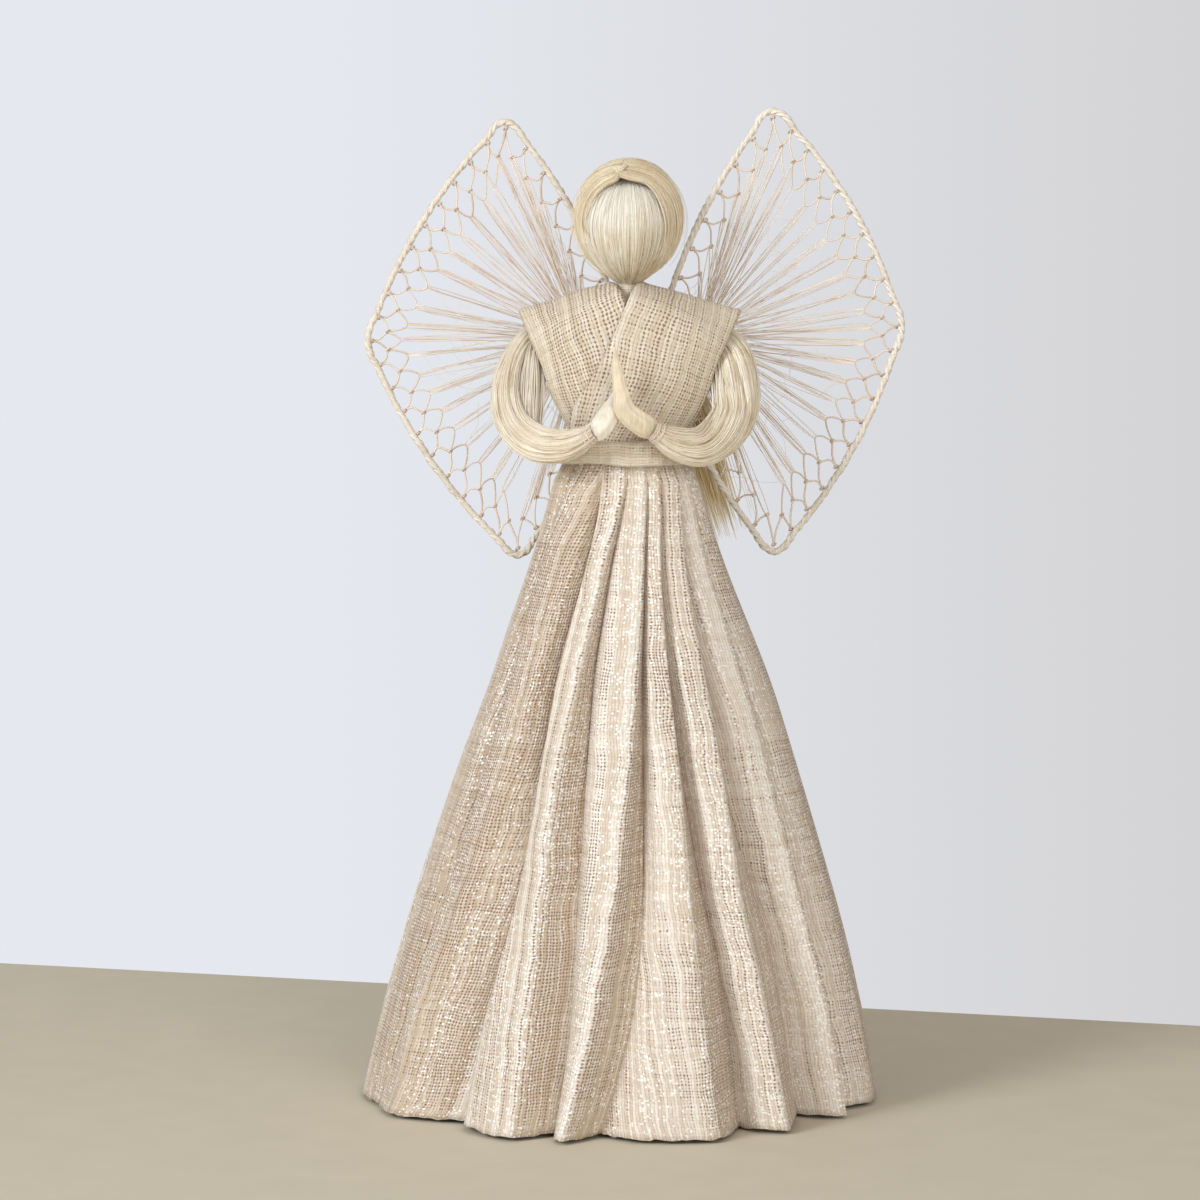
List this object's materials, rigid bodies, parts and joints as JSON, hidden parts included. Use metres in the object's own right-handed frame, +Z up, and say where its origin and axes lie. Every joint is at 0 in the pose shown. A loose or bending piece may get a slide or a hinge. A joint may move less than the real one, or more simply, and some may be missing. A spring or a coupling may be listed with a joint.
{
  "type": "raffia angel doll",
  "caption": "Standing angel doll of raffia and open-weave abaca cloth, with a wide pleated skirt, crossed bodice, praying hands and kite-shaped looped-lace wings.",
  "frame": {"origin": "middle of the bounding box in plan, on the table plane under the skirt's hem", "axes": "+Z up, the doll faces -Y, +X to the right as one looks at its face"},
  "size_m": [0.1572, 0.1465, 0.2851],
  "materials": {
    "cloth": "matte open weave",
    "bodice": "matte open weave",
    "core": "matte fibre",
    "ball": "matte",
    "fibre": "silky fibre",
    "tail": "silky fibre",
    "thread": "matte thread",
    "wire": "drawn wire",
    "wrap": "matte fibre",
    "lace": "matte thread",
    "fan": "matte fibre",
    "hand": "smooth fibre"
  },
  "bodies": {
    "root": {"skirt": "cloth", "waist_tie": "thread", "waistband": "bodice", "bodice_left": "bodice", "bodice_right": "bodice", "arm_wire": "wire", "arm_left": "fibre", "arm_right": "fibre", "torso_core": "core", "hand_left": "hand", "hand_right": "hand", "wrist_tie_left": "thread", "wrist_tie_right": "thread", "head_core": "ball", "face_fibres": "fibre", "neck_tie": "thread", "hair_left": "fibre", "hair_right": "fibre", "parting_knot": "fibre", "hair_tail": "tail", "nape_tie": "thread", "wing_root_tie": "thread", "wing_left_wire": "wire", "wing_left_wrap": "wrap", "wing_left_lace": "lace", "wing_left_fan": "fan", "wing_right_wire": "wire", "wing_right_wrap": "wrap", "wing_right_lace": "lace", "wing_right_fan": "fan"}
  },
  "joints": []
}
